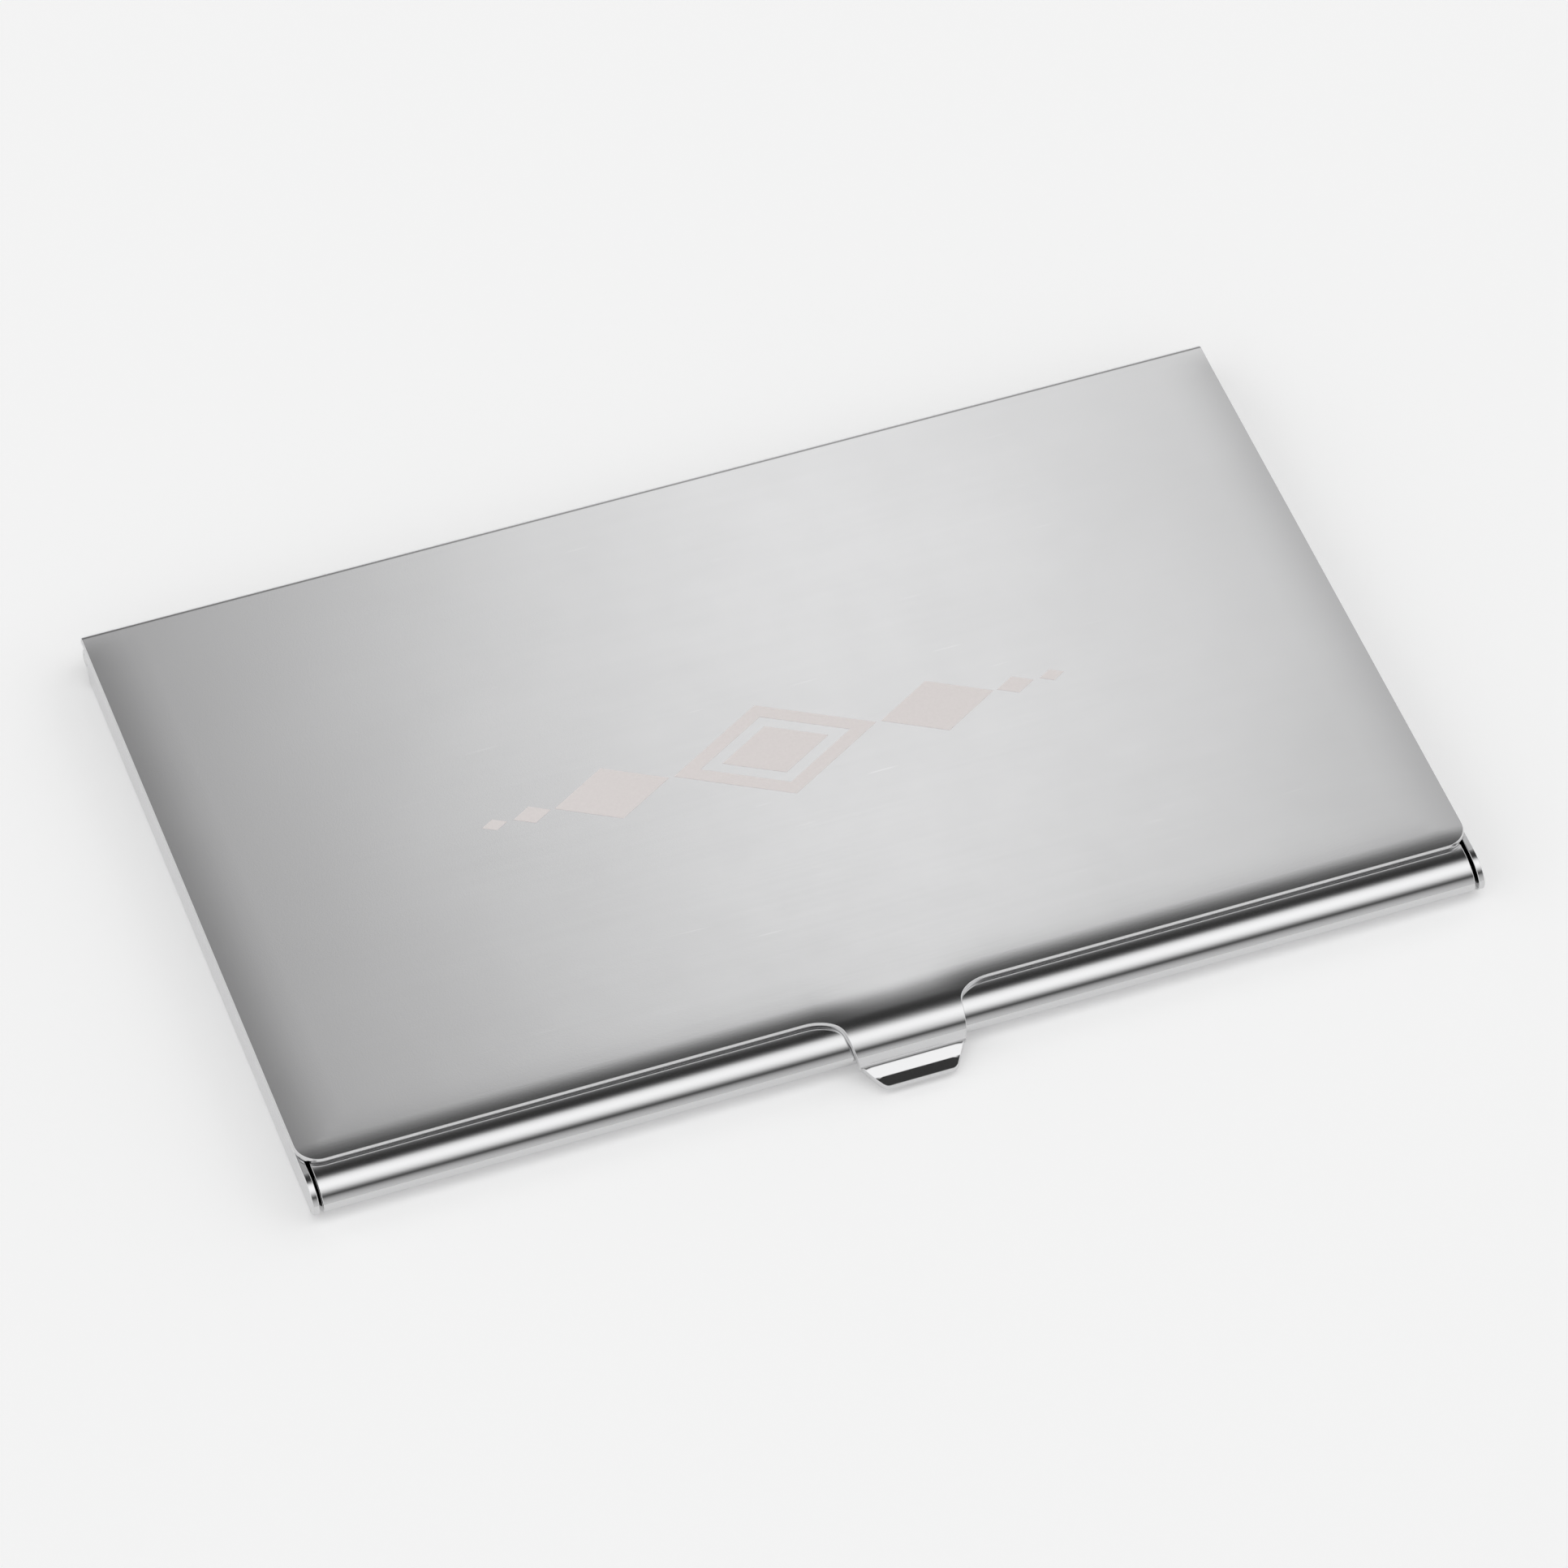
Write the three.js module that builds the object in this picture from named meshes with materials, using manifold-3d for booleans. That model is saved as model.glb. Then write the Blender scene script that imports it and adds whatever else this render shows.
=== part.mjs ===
// A slim metal business card case: pressed tray with a rolled front edge, and hinged lid with a thumb tab.
// Millimetres, +Z up. X runs across the case, -Y is the front, and the origin is under the middle (to 0.2 mm).
import * as THREE from "three";
import { mergeVertices } from "three/addons/utils/BufferGeometryUtils.js";
import Module from "manifold-3d";

const wasm = await Module();
wasm.setup();

// Driving dimensions
const WIDTH = 93; // over the side walls and over the lid
const HEIGHT = 3.65; // closed, from the table to the lid's top
const LID_SHEET = 0.48;
const TRAY_SHEET = 0.5;
const SEAM = 0.04; // between the lid's underside and the tops of the walls
const LID_FRONT_Y = -24.8; // the lid's straight front edge
const LID_REAR_Y = 30.2; // outer face of the lid's rear flange
const LIP_END_Y = -30.55; // front edge of the thumb lip
const LIFTER_SHEET = 0.35;
const SPRING_SHEET = 0.2;
const PIN_R = 0.45;
const RUNNING_GAP = 0.03; // radial clearance of a hole round its pin

// Hinge axis, parallel to X, and the round lugs that turn about it
const HINGE_Y = 28.65;
const HINGE_Z = 2.25;
const LUG_R = HEIGHT - LID_SHEET - SEAM - HINGE_Z;
const EAR_R = 0.85; // the lid's ears
const LIFTER_LUG_R = 0.8;

// Tray
const HALF = WIDTH / 2;
const WALL_IN = HALF - TRAY_SHEET;
const WALL_TOP = HEIGHT - LID_SHEET - SEAM;
const EDGE_R = 0.45; // outer bend radius between the bottom and a wall
const ROLL_Y = -25.36; // centre of the oval nose of the roll and of the walls
const ROLL_REACH = 2.46; // the oval's half-axis along Y
const ROLL_TOP_Y = -24.9; // the roll's upper quarter is longer, and starts here, under the lid
const ROLL_TOP = WALL_TOP - 0.04; // the roll stands a little lower than the walls, clear of the lid
const ROLL_GAP = 0.27; // open slit between the roll's end and the side wall
const SLIT_END_Y = -24;
const ROLL_TAIL_Y = -24.4; // where the roll ends, under the lid
const HEEL_R = 1.3; // round of the side wall's lower rear corner
const HEEL_Y = 26.9;
const REAR_WALL_Y = 27.8; // its outer face
const REAR_WALL_BEND = 0.6;
const REAR_WALL_TOP = 2.75;
const REAR_WALL_HALF = 41;

// Pieces of the hinge, from each side wall inwards (distance from the middle of the case)
const EAR_X = [45.35, 45.75];
const LIFTER_EAR_X = [44.65, 44.95];
const PIN_HEAD_X = [44.2, 44.45];
const SPRING_FINGER_X = [45.1, 45.9];
const SPRING_ROOT_X = [42.8, 45.9];
const RIVET = { x: 43.9, y: 17.6, shank: 0.6, head: 1, headHeight: 0.2 };

// Helpers

function solid(geometry) {
  const bare = geometry.clone();
  bare.deleteAttribute("normal");
  bare.deleteAttribute("uv");
  const merged = mergeVertices(bare, 1e-5);
  return new wasm.Manifold(
    new wasm.Mesh({
      numProp: 3,
      vertProperties: merged.attributes.position.array,
      triVerts: new Uint32Array(merged.index.array),
    }),
  );
}

// A closed outline in Y and Z, extruded along X.
function alongX(shape, x0, x1, curveSegments = 16) {
  const depth = x1 - x0;
  const geometry = new THREE.ExtrudeGeometry(shape, { depth, bevelEnabled: false, curveSegments });
  geometry.applyMatrix4(new THREE.Matrix4().set(0, 0, 1, x0, 1, 0, 0, 0, 0, 1, 0, 0, 0, 0, 0, 1));
  return solid(geometry);
}

// A closed outline in X and Z, extruded along Y.
function alongY(shape, y0, y1) {
  const depth = y1 - y0;
  const geometry = new THREE.ExtrudeGeometry(shape, { depth, bevelEnabled: false, curveSegments: 6 });
  geometry.applyMatrix4(new THREE.Matrix4().set(1, 0, 0, 0, 0, 0, -1, y1, 0, 1, 0, 0, 0, 0, 0, 1));
  return solid(geometry);
}

// A closed outline in X and Y, extruded along Z.
function alongZ(shape, z0, z1) {
  const depth = z1 - z0;
  const geometry = new THREE.ExtrudeGeometry(shape, { depth, bevelEnabled: false, curveSegments: 16 });
  geometry.translate(0, 0, z0);
  return solid(geometry);
}

function box(x0, x1, y0, y1, z0, z1) {
  const geometry = new THREE.BoxGeometry(x1 - x0, y1 - y0, z1 - z0);
  geometry.translate((x0 + x1) / 2, (y0 + y1) / 2, (z0 + z1) / 2);
  return solid(geometry);
}

function cylinder(axis, radius, from, to, centre) {
  const geometry = new THREE.CylinderGeometry(radius, radius, to - from, 32);
  if (axis === "x") geometry.rotateZ(-Math.PI / 2).translate((from + to) / 2, centre[0], centre[1]);
  else geometry.rotateX(Math.PI / 2).translate(centre[0], centre[1], (from + to) / 2);
  return solid(geometry);
}

function polygon(points) {
  return new THREE.Shape(points.map(([u, v]) => new THREE.Vector2(u, v)));
}

const degrees = THREE.MathUtils.degToRad;

// Walks along the outer face of a bent sheet: [length] is a straight run and [radius, turn] an arc, with the
// turn in degrees, positive to the left. The sheet lies on the left of the walk. Returns its closed outline.
function bentSheet(start, heading, runs, thickness) {
  const outer = [];
  const inner = [];
  let [u, v] = start;
  let angle = degrees(heading);
  const mark = () => {
    outer.push([u, v]);
    inner.push([u - thickness * Math.sin(angle), v + thickness * Math.cos(angle)]);
  };
  mark();
  for (const [size, turn] of runs) {
    const steps = turn ? Math.max(2, Math.ceil(Math.abs(turn) / 9)) : 1;
    const stepTurn = degrees(turn ?? 0) / steps;
    const stepLength = turn ? 2 * size * Math.sin(Math.abs(stepTurn) / 2) : size;
    for (let i = 0; i < steps; i++) {
      angle += stepTurn / 2;
      u += stepLength * Math.cos(angle);
      v += stepLength * Math.sin(angle);
      angle += stepTurn / 2;
      mark();
    }
  }
  return polygon([...outer, ...inner.reverse()]);
}

const bothSides = (make) => [make(-1), make(1)];
const spanX = (side, [near, far]) => (side < 0 ? [-far, -near] : [near, far]);

// Tray: bottom, side walls with round lugs at the rear, front roll and low rear wall, pressed from one sheet

// Bottom and side walls between the roll and the heels, as a section in X and Z
function channel() {
  const section = new THREE.Shape();
  section.moveTo(-HALF + EDGE_R, 0);
  section.lineTo(HALF - EDGE_R, 0);
  section.absarc(HALF - EDGE_R, EDGE_R, EDGE_R, -Math.PI / 2, 0, false);
  section.lineTo(HALF, WALL_TOP);
  section.lineTo(WALL_IN, WALL_TOP);
  section.lineTo(WALL_IN, TRAY_SHEET);
  section.lineTo(-WALL_IN, TRAY_SHEET);
  section.lineTo(-WALL_IN, WALL_TOP);
  section.lineTo(-HALF, WALL_TOP);
  section.absarc(-HALF + EDGE_R, EDGE_R, EDGE_R, Math.PI, 1.5 * Math.PI, false);
  return alongY(section, SLIT_END_Y, HEEL_Y);
}

// The side wall in front of the channel, with the same oval nose as the roll
function wallNose() {
  const shape = new THREE.Shape();
  shape.moveTo(ROLL_Y, 0);
  shape.lineTo(SLIT_END_Y, 0);
  shape.lineTo(SLIT_END_Y, WALL_TOP);
  shape.lineTo(ROLL_Y, WALL_TOP);
  shape.absellipse(ROLL_Y, WALL_TOP / 2, ROLL_REACH, WALL_TOP / 2, Math.PI / 2, 1.5 * Math.PI, false, 0);
  return shape;
}

// The side wall behind the channel: the heel, and the round lug about the hinge axis
function wallLug() {
  const heelTop = HEEL_Y + HEEL_R;
  const neck = Math.acos((heelTop - HINGE_Y) / LUG_R);
  const shape = new THREE.Shape();
  shape.moveTo(HEEL_Y, 0);
  shape.absarc(HEEL_Y, HEEL_R, HEEL_R, -Math.PI / 2, 0, false);
  shape.lineTo(heelTop, HINGE_Z - LUG_R * Math.sin(neck));
  shape.absarc(HINGE_Y, HINGE_Z, LUG_R, -neck, Math.PI / 2, false);
  shape.lineTo(HEEL_Y, WALL_TOP);
  return shape;
}

function rollOutline() {
  const middle = WALL_TOP / 2;
  const inner = middle - TRAY_SHEET;
  const topRise = ROLL_TOP - middle;
  const topInner = topRise - TRAY_SHEET;
  const topReach = ROLL_REACH + ROLL_TOP_Y - ROLL_Y;
  const shape = new THREE.Shape();
  shape.moveTo(ROLL_TAIL_Y, 0);
  shape.lineTo(ROLL_TAIL_Y, TRAY_SHEET);
  shape.lineTo(ROLL_Y, TRAY_SHEET);
  shape.absellipse(ROLL_Y, middle, ROLL_REACH - TRAY_SHEET, inner, 1.5 * Math.PI, Math.PI, true, 0);
  shape.absellipse(ROLL_TOP_Y, middle, topReach - TRAY_SHEET, topInner, Math.PI, Math.PI / 2, true, 0);
  shape.lineTo(ROLL_TAIL_Y, ROLL_TOP - TRAY_SHEET);
  shape.lineTo(ROLL_TAIL_Y, ROLL_TOP);
  shape.lineTo(ROLL_TOP_Y, ROLL_TOP);
  shape.absellipse(ROLL_TOP_Y, middle, topReach, topRise, Math.PI / 2, Math.PI, false, 0);
  shape.absellipse(ROLL_Y, middle, ROLL_REACH, middle, Math.PI, 1.5 * Math.PI, false, 0);
  return shape;
}

function baseShell() {
  const rollHalf = WALL_IN - ROLL_GAP;
  const apron = box(-rollHalf, rollHalf, ROLL_TAIL_Y, SLIT_END_Y, 0, TRAY_SHEET);
  const roll = alongX(rollOutline(), -rollHalf, rollHalf, 14);
  const rearRuns = [[1], [REAR_WALL_BEND, 90], [REAR_WALL_TOP - REAR_WALL_BEND]];
  const rearStart = [REAR_WALL_Y - REAR_WALL_BEND - 1, 0];
  const rearWall = alongX(bentSheet(rearStart, 0, rearRuns, TRAY_SHEET), -REAR_WALL_HALF, REAR_WALL_HALF);
  const noses = bothSides((side) => alongX(wallNose(), ...spanX(side, [WALL_IN, HALF]), 28));
  const lugs = bothSides((side) => alongX(wallLug(), ...spanX(side, [WALL_IN, HALF])));
  const holes = bothSides((side) => [
    cylinder("x", PIN_R + RUNNING_GAP, ...spanX(side, [WALL_IN - 1, HALF + 1]), [HINGE_Y, HINGE_Z]),
    cylinder("z", RIVET.shank + RUNNING_GAP, -1, 1, [side * RIVET.x, RIVET.y]),
  ]).flat();
  const tray = [apron, roll, rearWall, ...noses, ...lugs].reduce((whole, piece) => whole.add(piece), channel());
  return holes.reduce((whole, hole) => whole.subtract(hole), tray);
}

// Lid: one sheet, bent down at the rear and over the roll at the thumb tab

const TAB = { half: 4.65, halfLow: 4.3, filletX: 2.65, filletY: 1.9, lipHalf: 4, lipEndHalf: 2.85 };
const TAB_BEND_Y = LID_FRONT_Y + 1.585; // where the top starts to fall towards the tab
const TAB_BENDS = [
  // radius, turn
  [36, 3], [20, 0.8], [7.3, 10.9], [3.8, 17], [2, 7.3], [1.67, 7.2], [0.95, 26.8],
];
const TAB_WALL = 0.614; // the tab's steep face
const LIP_BENDS = [[0.4, -53], [0.8], [0.4, -12], [1.2]]; // sloping lip with a flatter edge

function lidSection() {
  const rearBend = 0.8;
  const flangeDepth = 1.75;
  return bentSheet(
    [LID_REAR_Y, HEIGHT - flangeDepth],
    90,
    [
      [flangeDepth - rearBend],
      [rearBend, 90],
      [LID_REAR_Y - rearBend - TAB_BEND_Y],
      ...TAB_BENDS,
      [TAB_WALL],
      ...LIP_BENDS,
    ],
    LID_SHEET,
  );
}

function lidPlan() {
  const frontCorner = 1.9;
  const rearCorner = 0.35;
  const tabTop = LID_FRONT_Y - TAB.filletY;
  const lipStart = LID_FRONT_Y - 3.86;
  const shape = new THREE.Shape();
  const right = HALF;
  shape.moveTo(right - rearCorner, LID_REAR_Y);
  shape.lineTo(-right + rearCorner, LID_REAR_Y);
  shape.lineTo(-right, LID_REAR_Y - rearCorner);
  shape.absarc(-right + frontCorner, LID_FRONT_Y + frontCorner, frontCorner, Math.PI, 1.5 * Math.PI, false);
  shape.absellipse(-TAB.half - TAB.filletX, tabTop, TAB.filletX, TAB.filletY, Math.PI / 2, 0, true, 0);
  shape.lineTo(-TAB.halfLow, lipStart);
  shape.lineTo(-TAB.lipHalf, lipStart);
  shape.lineTo(-TAB.lipEndHalf, LIP_END_Y);
  shape.lineTo(TAB.lipEndHalf, LIP_END_Y);
  shape.lineTo(TAB.lipHalf, lipStart);
  shape.lineTo(TAB.halfLow, lipStart);
  shape.absellipse(TAB.half + TAB.filletX, tabTop, TAB.filletX, TAB.filletY, Math.PI, Math.PI / 2, true, 0);
  shape.absarc(right - frontCorner, LID_FRONT_Y + frontCorner, frontCorner, -Math.PI / 2, 0, false);
  shape.lineTo(right, LID_REAR_Y - rearCorner);
  return shape;
}

function lid() {
  return alongX(lidSection(), -HALF, HALF).intersect(alongZ(lidPlan(), -1, HEIGHT + 1));
}

// Ear: an angle welded under the lid beside each wall, with a round end that turns on the hinge pin

function hingeEar(side) {
  const footTop = HEIGHT - LID_SHEET;
  const footSheet = 0.4;
  const footY = [22.7, 27.3];
  const cheek = new THREE.Shape();
  cheek.moveTo(HINGE_Y + EAR_R, footTop);
  cheek.lineTo(footY[0], footTop);
  cheek.lineTo(footY[0], footTop - footSheet);
  cheek.lineTo(footY[1] - 1.5, footTop - footSheet);
  cheek.absarc(HINGE_Y, HINGE_Z, EAR_R, degrees(-140), 0, false);
  const upright = alongX(cheek, ...spanX(side, EAR_X));
  const foot = box(...spanX(side, [43.2, EAR_X[1]]), ...footY, footTop - footSheet, footTop);
  const hole = cylinder("x", PIN_R + RUNNING_GAP, ...spanX(side, [43, 47]), [HINGE_Y, HINGE_Z]);
  return upright.add(foot).subtract(hole);
}

// Pin: flush with the outside of the wall, with a flat head inside

function hingePin(side) {
  const shank = cylinder("x", PIN_R, ...spanX(side, [PIN_HEAD_X[0], HALF]), [HINGE_Y, HINGE_Z]);
  return shank.add(cylinder("x", 0.75, ...spanX(side, PIN_HEAD_X), [HINGE_Y, HINGE_Z]));
}

// Card lifter: the plate under the cards, which turns on the same pins

const LIFTER_Z = 0.6;

function lifterPlan() {
  const half = LIFTER_EAR_X[1];
  const notchX = SPRING_ROOT_X[0] - 0.4;
  const [front, notchFront, notchRear, rear] = [-23.6, 14.6, 21.8, 26.9];
  const corner = 2;
  const shape = new THREE.Shape();
  shape.moveTo(-half, rear);
  shape.lineTo(-half, notchRear);
  shape.lineTo(-notchX, notchRear);
  shape.lineTo(-notchX, notchFront);
  shape.lineTo(-half, notchFront);
  shape.absarc(-half + corner, front + corner, corner, Math.PI, 1.5 * Math.PI, false);
  shape.absarc(half - corner, front + corner, corner, 1.5 * Math.PI, 2 * Math.PI, false);
  shape.lineTo(half, notchFront);
  shape.lineTo(notchX, notchFront);
  shape.lineTo(notchX, notchRear);
  shape.lineTo(half, notchRear);
  shape.lineTo(half, rear);
  return shape;
}

function cardLifter() {
  const plate = alongZ(lifterPlan(), LIFTER_Z, LIFTER_Z + LIFTER_SHEET);
  const ears = bothSides((side) => {
    const cheek = new THREE.Shape();
    cheek.moveTo(22.4, LIFTER_Z);
    cheek.lineTo(26.9, LIFTER_Z);
    cheek.absarc(HINGE_Y, HINGE_Z, LIFTER_LUG_R, degrees(-110), degrees(120), false);
    cheek.lineTo(22.4, LIFTER_Z + LIFTER_SHEET);
    return alongX(cheek, ...spanX(side, LIFTER_EAR_X));
  });
  const holes = bothSides((side) =>
    cylinder("x", PIN_R + RUNNING_GAP, ...spanX(side, [44, 46]), [HINGE_Y, HINGE_Z]),
  );
  const body = ears.reduce((whole, ear) => whole.add(ear), plate);
  return holes.reduce((whole, hole) => whole.subtract(hole), body);
}

// Snap spring: a leaf riveted to the bottom, whose finger bears on the round end of the lid's ear

function snapSpring(side) {
  const [rootFront, rootRear, tip] = [15.2, 20.2, 28.06];
  const slope = Math.atan2(1.05, tip - rootRear);
  const run = (tip - rootRear) / Math.cos(slope);
  const runs = [[rootRear - rootFront], [20, THREE.MathUtils.radToDeg(slope)], [run - 20 * slope]];
  const leaf = alongX(
    bentSheet([rootFront, TRAY_SHEET], 0, runs, SPRING_SHEET),
    ...spanX(side, SPRING_ROOT_X),
  );
  const besideFinger = box(...spanX(side, [SPRING_ROOT_X[0] - 1, SPRING_FINGER_X[0]]), rootRear, 30, 0, HEIGHT);
  const hole = cylinder("z", RIVET.shank + RUNNING_GAP, 0, 2, [side * RIVET.x, RIVET.y]);
  return leaf.subtract(besideFinger).subtract(hole);
}

function springRivet(side) {
  const at = [side * RIVET.x, RIVET.y];
  const headZ = TRAY_SHEET + SPRING_SHEET;
  const shank = cylinder("z", RIVET.shank, 0.02, headZ, at);
  return shank.add(cylinder("z", RIVET.head, headZ, headZ + RIVET.headHeight, at));
}

// Assembly

const finishes = {
  satin: { color: 0xb9babc, roughness: 0.34, metalness: 1 },
  polished: { color: 0xc4c5c7, roughness: 0.2, metalness: 1 },
  spring: { color: 0x9a9690, roughness: 0.35, metalness: 1 },
};

const caseGroup = new THREE.Group();

function place(name, manifold, finish) {
  const { vertProperties, triVerts, numProp } = manifold.getMesh();
  const positions = new Float32Array(triVerts.length * 3);
  triVerts.forEach((vertex, i) => {
    positions.set(vertProperties.subarray(vertex * numProp, vertex * numProp + 3), 3 * i);
  });
  const geometry = new THREE.BufferGeometry();
  geometry.setAttribute("position", new THREE.BufferAttribute(positions, 3));
  geometry.computeVertexNormals();
  const mesh = new THREE.Mesh(geometry, new THREE.MeshStandardMaterial(finishes[finish]));
  mesh.name = name;
  caseGroup.add(mesh);
}

place("base_shell", baseShell(), "satin");
place("lid", lid(), "satin");
place("card_lifter", cardLifter(), "satin");
for (const [side, word] of [[-1, "left"], [1, "right"]]) {
  place(`hinge_ear_${word}`, hingeEar(side), "satin");
  place(`hinge_pin_${word}`, hingePin(side), "polished");
  place(`snap_spring_${word}`, snapSpring(side), "spring");
  place(`spring_rivet_${word}`, springRivet(side), "polished");
}

export default caseGroup;
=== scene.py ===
import math

import bmesh
import bpy
import numpy as np
from mathutils import Matrix, Vector
from mathutils.geometry import delaunay_2d_cdt


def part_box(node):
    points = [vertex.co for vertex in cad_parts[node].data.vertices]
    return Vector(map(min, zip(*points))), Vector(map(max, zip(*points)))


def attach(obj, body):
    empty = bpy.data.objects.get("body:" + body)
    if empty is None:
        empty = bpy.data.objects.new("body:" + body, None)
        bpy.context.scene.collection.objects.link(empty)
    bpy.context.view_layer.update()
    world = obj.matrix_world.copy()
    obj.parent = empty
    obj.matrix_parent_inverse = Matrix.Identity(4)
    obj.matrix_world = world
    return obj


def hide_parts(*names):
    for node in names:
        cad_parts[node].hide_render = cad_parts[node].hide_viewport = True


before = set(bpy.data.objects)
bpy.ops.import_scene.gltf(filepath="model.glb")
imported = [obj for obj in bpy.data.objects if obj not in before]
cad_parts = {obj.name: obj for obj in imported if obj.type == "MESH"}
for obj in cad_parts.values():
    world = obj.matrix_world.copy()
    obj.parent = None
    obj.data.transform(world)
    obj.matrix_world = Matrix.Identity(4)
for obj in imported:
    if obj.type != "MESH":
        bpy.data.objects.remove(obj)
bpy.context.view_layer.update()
MM = 0.001


def box_mm(node):
    low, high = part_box(node)
    return np.array(low) / MM, np.array(high) / MM


lid_low, lid_high = box_mm("lid")
tray_high = box_mm("base_shell")[1]

# ---------------------------------------------------------------- bent sheet metal


class Section:
    """A walk along one face of a bent sheet. A run is (length,) where it is straight and (radius, turn) where
    it bends, with the turn in degrees, positive to the left."""

    def __init__(self, start, heading, runs):
        self.s0 = [0.0]
        self.pos = [np.array(start, float)]
        self.angle = [math.radians(heading)]
        self.curve = []
        for run in runs:
            turn = math.radians(run[1]) if len(run) == 2 else 0.0
            length = run[0] * abs(turn) if turn else run[0]
            self.curve.append(turn / length)
            end, heading_end = self._at(len(self.curve) - 1, np.array([length]))
            self.s0.append(self.s0[-1] + length)
            self.pos.append(end[0])
            self.angle.append(float(heading_end[0]))

    def _at(self, k, along):
        kappa, a0 = self.curve[k], self.angle[k]
        a = a0 + kappa * along
        if abs(kappa) < 1e-9:
            step = np.stack([np.cos(a0) * along, np.sin(a0) * along], 1)
        else:
            step = np.stack([np.sin(a) - math.sin(a0), math.cos(a0) - np.cos(a)], 1) / kappa
        return self.pos[k] + step, a

    def __call__(self, s):
        s = np.asarray(s, float)
        k = np.clip(np.searchsorted(self.s0, s, side="right") - 1, 0, len(self.curve) - 1)
        pos, angle = np.zeros((len(s), 2)), np.zeros(len(s))
        for i in range(len(self.curve)):
            m = k == i
            if m.any():
                pos[m], angle[m] = self._at(i, s[m] - self.s0[i])
        return pos, angle

    def stations(self, first, last, step_deg):
        """Values of s that divide runs first to last, arcs every step_deg."""
        out = []
        for i in range(first, last):
            length = self.s0[i + 1] - self.s0[i]
            n = max(1, math.ceil(abs(math.degrees(self.curve[i] * length)) / step_deg))
            out += list(self.s0[i] + length * np.arange(n) / n)
        return out + [self.s0[last]]


def signed_area(loop):
    x, y = loop[:, 0], loop[:, 1]
    return 0.5 * np.sum(x * np.roll(y, -1) - y * np.roll(x, -1))


def clean(loop, least=1e-3):
    loop = np.asarray(loop, float)
    keep = np.linalg.norm(loop - np.roll(loop, 1, 0), axis=1) > least
    return loop[keep]


def miters(loop):
    """Outward vectors at the corners, sized so that the sides move by one."""
    ahead, back = np.roll(loop, -1, 0) - loop, loop - np.roll(loop, 1, 0)
    na = np.stack([ahead[:, 1], -ahead[:, 0]], 1) / np.linalg.norm(ahead, axis=1)[:, None]
    nb = np.stack([back[:, 1], -back[:, 0]], 1) / np.linalg.norm(back, axis=1)[:, None]
    mean = na + nb
    mean /= np.maximum(np.linalg.norm(mean, axis=1), 1e-9)[:, None]
    return mean / np.clip((mean * na).sum(1), 0.55, 1)[:, None], mean


def inside(points, loops):
    """Even-odd test of points against closed loops."""
    hit = np.zeros(len(points), bool)
    for loop in loops:
        a, b = loop, np.roll(loop, -1, 0)
        for (x0, y0), (x1, y1) in zip(a, b):
            cross = (y0 > points[:, 1]) != (y1 > points[:, 1])
            if cross.any():
                at = x0 + (points[:, 1] - y0) * (x1 - x0) / (y1 - y0 if y1 != y0 else 1e-12)
                hit ^= cross & (points[:, 0] < at)
    return hit


def distance_to(points, loops):
    """Distance and unit direction from the nearest point of the loops to each point."""
    best, direction = np.full(len(points), 1e9), np.zeros((len(points), 2))
    for loop in loops:
        a, b = loop, np.roll(loop, -1, 0)
        for p, q in zip(a, b):
            d = q - p
            t = np.clip(((points - p) @ d) / max(d @ d, 1e-12), 0, 1)
            gap = points - (p + t[:, None] * d)
            length = np.linalg.norm(gap, axis=1)
            m = length < best
            best[m] = length[m]
            direction[m] = gap[m] / np.maximum(length[m], 1e-9)[:, None]
    return best, direction


def finish_mesh(name, verts, faces, normals, material, body, slot, replaces=()):
    mesh = bpy.data.meshes.new(name)
    mesh.from_pydata((np.asarray(verts) * MM).tolist(), [], [list(map(int, f)) for f in faces])
    mesh.polygons.foreach_set("use_smooth", [True] * len(mesh.polygons))
    if normals is not None:
        mesh.normals_split_custom_set_from_vertices(np.asarray(normals).tolist())
    mesh.materials.append(material)
    mesh.update()
    piece = bpy.data.objects.new(name, mesh)
    bpy.context.scene.collection.objects.link(piece)
    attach(piece, body)
    if replaces:
        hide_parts(*replaces)
    return piece


GRID_CLEARANCE = 0.12  # least distance from an inner point of a blank to its cut edges
PROBE = 1e-3  # step along the blank that a slope is measured over
EDGE_STEPS = 3  # faces across each rounded edge
EDGE_BREAK = 0.02  # height over which the leaning half of a cut edge turns upright


def edge_profile(thickness, edge, lean):
    """Steps across a cut edge, from the outer face to the inner. Each has a setback from the outline, a
    depth, a turn of the normal, and the face it turns from. The outer half leans back."""
    half = thickness / 2
    tip = math.atan(lean / half)
    shares = [(k + 1) / EDGE_STEPS for k in range(EDGE_STEPS)]
    profile = []
    for share in shares:
        t = math.pi / 2 * share
        depth = edge * (1 - math.cos(t))
        setback = edge * (1 - math.sin(t)) + lean * (1 - depth / half)
        profile.append((setback, depth, (math.pi / 2 - tip) * share, 1))
    if lean:
        profile += [(0.0, half, math.pi / 2 - tip, 1), (0.0, half + EDGE_BREAK, math.pi / 2, 1)]
    for share in shares[::-1]:
        t = math.pi / 2 * share
        profile.append((edge * (1 - math.sin(t)), thickness - edge * (1 - math.cos(t)), t, -1))
    return profile


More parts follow.
